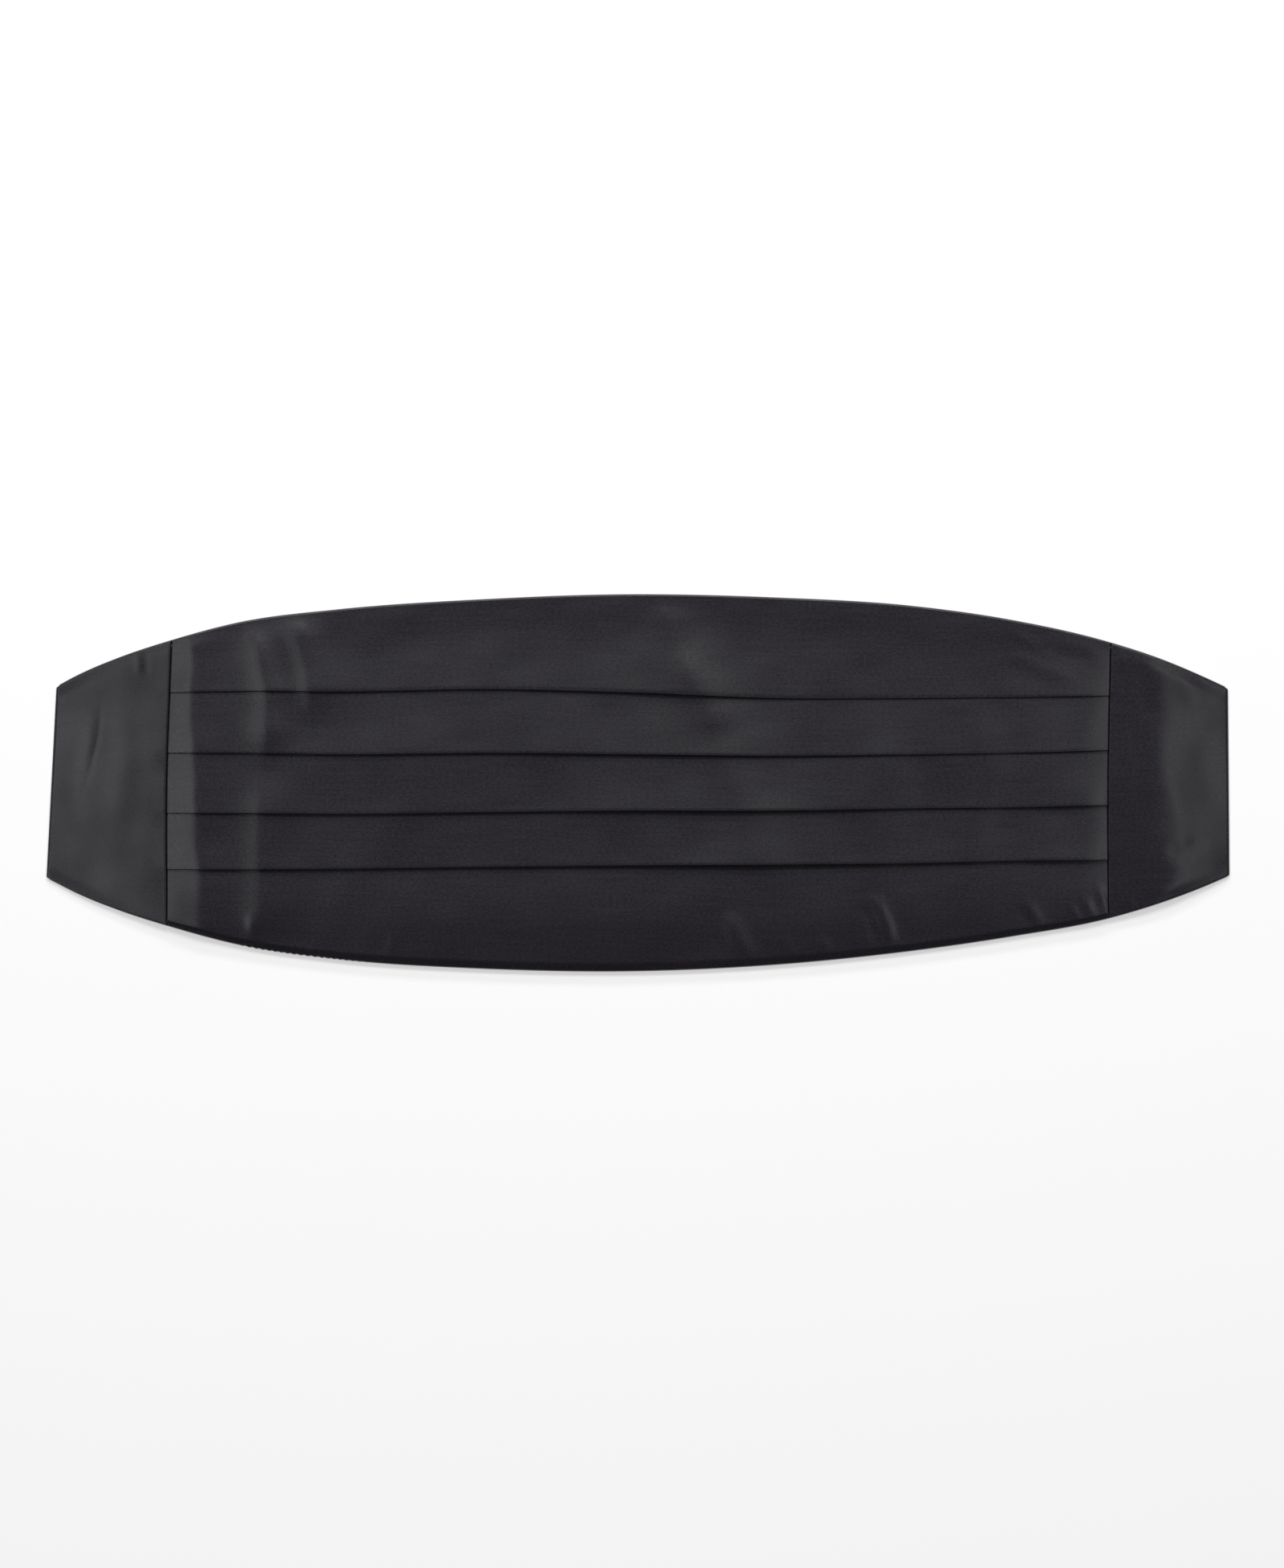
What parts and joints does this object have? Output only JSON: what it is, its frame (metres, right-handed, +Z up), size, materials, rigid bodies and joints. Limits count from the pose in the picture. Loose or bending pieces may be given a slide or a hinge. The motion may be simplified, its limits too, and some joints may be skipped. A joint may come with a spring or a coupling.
{
  "type": "cummerbund",
  "caption": "Pleated satin cummerbund laid flat, front up: a knife-pleated centre between two plain tapered end pieces, over a plain back with an elastic strap.",
  "frame": {"origin": "centre of the bounding box on the surface that the cummerbund lies on", "axes": "+X along the band, +Y from its lower edge to its upper edge as pictured, +Z up from the surface, out of the front"},
  "size_m": [0.3982, 0.127, 0.0068],
  "materials": {
    "satin": "black satin, soft sheen",
    "back_satin": "plain black satin, duller",
    "strap_elastic": "woven black elastic, matt"
  },
  "bodies": {
    "root": {"centre_front": "satin", "end_panel_left": "satin", "end_panel_right": "satin", "back_panel": "back_satin", "back_strap": "strap_elastic"}
  },
  "joints": []
}
